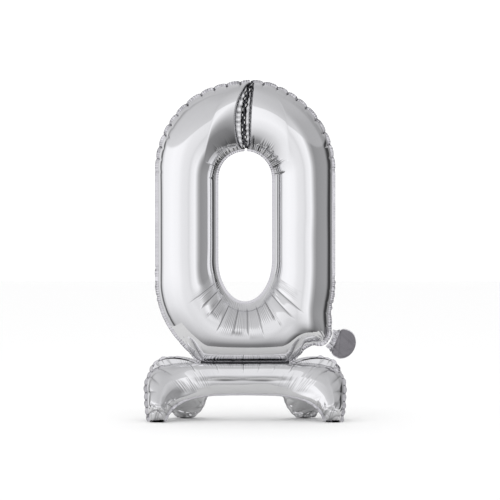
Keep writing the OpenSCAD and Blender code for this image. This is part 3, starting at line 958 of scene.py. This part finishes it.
def tail_foil(name, side):
    """One foil of the tail: a bright crumpled collar that opens into a round end with a dull face."""
    start, length, mouth = 0.6 * MM, 55.16 * MM, 13 * MM
    u = np.linspace(0, 1, int(90 * FINE))
    v = np.linspace(-1, 1, int(70 * FINE))
    x = start + length * u
    across = v * tail_half_width(x, mouth, start + length)[:, None]
    crumple, dark = tail_folds(x, across, mouth)
    dome = 1.5 * MM * (1 - v ** 2) * smooth(0.05, 0.4, u)[:, None]
    # the collar's corners reach back round the end of the digit's weld
    reach = 4.2 * MM * smooth(6 * MM, 19 * MM, np.abs(across)) * (1 - smooth(0, 9 * MM, x))[:, None]
    grid = TAIL_ROOT + (x[:, None] - reach)[..., None] * TAIL_OUT + across[..., None] * TAIL_UP
    grid[..., 1] += side * (0.3 * MM + dome) + crumple * smooth(0, 0.08, u)[:, None]
    obj = mesh_from_grid(name, grid, flip=side > 0, crease_and_painted_shade=dark)
    obj.data.materials.append(welded)
    obj.data.materials.append(dull)
    cols = len(v) - 1
    faces = np.arange(len(obj.data.polygons))
    outward_share = (faces // cols) / (len(u) - 1)
    to_rim = np.abs((faces % cols + 0.5) / cols * 2 - 1)
    is_dull = (outward_share > 0.21) & (to_rim < 0.93)
    obj.data.polygons.foreach_set("material_index", is_dull.astype(np.int32))
    return obj


# ---------------------------------------- studio

SEEN_WIDTH = 1.085          # of the plane through the balloon that the camera takes in, in metres
CAMERA_DISTANCE = 10.0
CAMERA_RISE = math.radians(2.5)

# brightness by bearing in degrees, 0 behind the camera and 90 to the right
WALLS = [(-180, .85), (-150, .55), (-128, .72), (-122, .14), (-115, .14), (-110, .62), (-98, .86),
         (-60, .92), (-35, .88), (-20, .78), (0, .73), (6, .68), (15, .80), (30, .88), (35, .68),
         (43, .40), (52, .27), (75, .30), (98, .32), (104, .24), (112, .05), (127, .04), (134, .24),
         (160, .34), (180, .85)]
# brightness by the sine of the height, mapped to 0 straight down, 0.5 level and 1 straight up
HEIGHTS = [(0, .22), (0.07, .19), (0.13, .26), (0.21, .56), (0.33, .84), (0.46, 1.0), (0.635, 1.0),
           (0.65, .70), (0.75, .62), (0.90, .55), (1, .45)]
# how far the walls' bands show at each height; they fade out overhead and underfoot
WALL_SHARE = [(0, .2), (0.07, .8), (0.13, 1), (0.635, 1), (0.65, .6), (0.80, .45), (1, 0)]


def make_camera():
    """A long lens from the front, a little above."""
    low, high = cad_box
    target = Vector(((low[0] + high[0]) / 2, 0, (low[2] + high[2]) / 2))
    data = bpy.data.cameras.new("camera")
    data.sensor_width = 36
    data.lens = 36 * CAMERA_DISTANCE / SEEN_WIDTH
    data.clip_end = 100
    cam = bpy.data.objects.new("camera", data)
    bpy.context.scene.collection.objects.link(cam)
    cam.location = target + Vector((0, -math.cos(CAMERA_RISE), math.sin(CAMERA_RISE))) * CAMERA_DISTANCE
    cam.rotation_euler = (target - cam.location).to_track_quat("-Z", "Y").to_euler()
    bpy.context.scene.camera = cam


def math_node(tree, operation, a, b):
    """The result of one sum on two numbers."""
    node = tree.nodes.new("ShaderNodeMath")
    node.operation = operation
    feed(tree, node.inputs[0], a)
    feed(tree, node.inputs[1], b)
    return node.outputs[0]


def ramp(tree, source, stops):
    """A grey ramp through (place, level) stops."""
    node = tree.nodes.new("ShaderNodeValToRGB")
    elements = node.color_ramp.elements
    while len(elements) > 1:
        elements.remove(elements[-1])
    for k, (place, level) in enumerate(stops):
        stop = elements[0] if k == 0 else elements.new(place)
        stop.position = place
        stop.color = (level, level, level * 1.01, 1)
    feed(tree, node.inputs[0], source)
    return node.outputs[0]


def reflected_studio(tree):
    """What reflections see: bright walls with a grey side and thin black flags, darker up and down."""
    xyz = tree.nodes.new("ShaderNodeSeparateXYZ")
    feed(tree, xyz.inputs[0], shader_node(tree, "TexCoord").outputs["Generated"])
    toward_camera = math_node(tree, "MULTIPLY", xyz.outputs["Y"], -1.0)
    bearing = math_node(tree, "ARCTAN2", xyz.outputs["X"], toward_camera)
    turn = math_node(tree, "ADD", math_node(tree, "DIVIDE", bearing, 2 * math.pi), 0.5)
    height = math_node(tree, "ADD", math_node(tree, "MULTIPLY", xyz.outputs["Z"], 0.5), 0.5)
    around = ramp(tree, turn, [((degrees + 180) / 360, level) for degrees, level in WALLS])
    tall = ramp(tree, height, HEIGHTS)
    wall_share = ramp(tree, height, WALL_SHARE)
    walls = mixed(tree, "MIX", wall_share, (0.98, 0.98, 0.99, 1), around)
    return mixed(tree, "MULTIPLY", 1.0, walls, tall)


def make_world():
    """A studio that is plain white to the eye and has walls in reflections."""
    world = bpy.data.worlds.new("studio")
    bpy.context.scene.world = world
    world.use_nodes = True
    tree = world.node_tree
    white = (1, 1, 1, 1)
    glossy = shader_node(tree, "LightPath").outputs["Is Glossy Ray"]
    background = tree.nodes["Background"]
    feed(tree, background.inputs["Color"], mixed(tree, "MIX", glossy, white, reflected_studio(tree)))
    feed(tree, background.inputs["Strength"], 1.1)


def plane(name, half_x, front, back, z, grey):
    """A flat rectangle with a matt grey material of its own."""
    mat = bpy.data.materials.new(name)
    mat.use_nodes = True
    bsdf = mat.node_tree.nodes["Principled BSDF"]
    bsdf.inputs["Base Color"].default_value = (grey, grey, grey, 1)
    bsdf.inputs["Roughness"].default_value = 0.8
    corners = [(-half_x, front, z), (half_x, front, z), (half_x, back, z), (-half_x, back, z)]
    mesh = bpy.data.meshes.new(name)
    mesh.from_pydata(corners, [], [(0, 1, 2, 3)])
    mesh.materials.append(mat)
    obj = bpy.data.objects.new(name, mesh)
    bpy.context.scene.collection.objects.link(obj)
    return obj


def make_floor():
    """A white floor that reflections miss, and a grey table that only reflections see."""
    floor = plane("floor", 6.0, -6.0, 6.0, -0.8 * MM, 0.93)
    table = plane("table", 0.46, -0.15, 0.7, -0.3 * MM, 0.60)
    floor.visible_glossy = False
    table.visible_camera = False
    table.visible_shadow = False
    table.visible_diffuse = False


def make_light():
    """A soft light overhead, which reflections miss."""
    data = bpy.data.lights.new("overhead", "AREA")
    data.shape = "RECTANGLE"
    data.size = 2.4
    data.size_y = 1.6
    data.energy = 8
    light = bpy.data.objects.new("overhead", data)
    bpy.context.scene.collection.objects.link(light)
    light.location = (-0.5, -0.6, 2.6)
    light.visible_glossy = False
    light.rotation_euler = (Vector((0, 0, 0.4)) - light.location).to_track_quat("-Z", "Y").to_euler()


# ---------------------------------------- assembly

def place(piece, body, material, slot, *nodes):
    """Puts a piece on its body, in its material, in place of the nodes it stands for; slot is not used."""
    if material is not None:
        piece.data.materials.append(material)
    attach(piece, body)
    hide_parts(*nodes)


def place_digit():
    """The digit's two films and its welds."""
    for word, side, seed in (("front", -1, 11), ("back", 1, 47)):
        grid, shade = digit_film(side, seed)
        film = mesh_from_grid("digit_" + word, grid, side > 0, shade)
        place(film, "digit", foil, "foil", f"digit_{word}_film")
    for band in outer_seam():
        place(band, "digit", welded, "welded_foil", "digit_outer_seam")
    place(counter_band(), "digit", welded, "welded_foil", "counter_seam")
    # the crown and neck welds are in the near-black foil, as painted shade of their crevices
    place(crown_band(), "digit", shaded, "welded_foil", "crown_weld")
    place(neck_band(), "digit", shaded, "welded_foil", "neck_weld")


def place_pad(word, side, outer_parts, inner_parts, seed):
    """A pad's two films, the welds along its two edges and the welds across its two feet."""
    body = word + "_pad"
    outer, inner = pad_edge(outer_parts), pad_edge(inner_parts)
    for layer, outward, draw in (("outer", True, seed), ("inner", False, seed + 20)):
        grid, shade = pad_film(side, inner, outer, outward, draw)
        film = mesh_from_grid(f"{body}_{layer}", grid, (side < 0) == outward, shade)
        place(film, body, foil, "foil", f"{body}_{layer}_film")
    edge_loose = smooth(0.36, 0.55, PAD_F)
    arch_loose = 0.35 * smooth(0.5, 0.75, PAD_F)
    edge = pad_band(body + "_edge", side, outer, False, edge_loose, seed)
    arch = pad_band(body + "_arch", side, inner, True, arch_loose, seed + 3)
    for band in (edge, arch):
        place(band, body, welded, "welded_foil", body + "_seam")
    for hand, way in (("left", -1), ("right", 1)):
        foot = foot_band(f"{word}_foot_{hand}", side, outer_parts, inner_parts, way, seed + 5)
        place(foot, body, welded, "welded_foil", word + "_foot_welds")


def place_tail():
    """The filling tail's two foils."""
    for word, side in (("front", -1), ("back", 1)):
        place(tail_foil("tail_" + word, side), "fill_tail", None, "tail_foil", f"tail_{word}_foil")


def repaint_valve():
    """The valve's sleeves stay as they are in the frame, in clear film."""
    for word in ("valve_sleeve_front", "valve_sleeve_back"):
        sleeve = frame["nodes"][word]
        sleeve.data.materials.clear()
        sleeve.data.materials.append(clear)


make_camera()
place_digit()
place_pad("front", -1, FRONT_OUTER, FRONT_INNER, 101)
place_pad("rear", 1, REAR_OUTER, REAR_INNER, 151)
place_tail()
repaint_valve()
make_world()
make_floor()
make_light()
bpy.context.scene.view_settings.view_transform = "Standard"
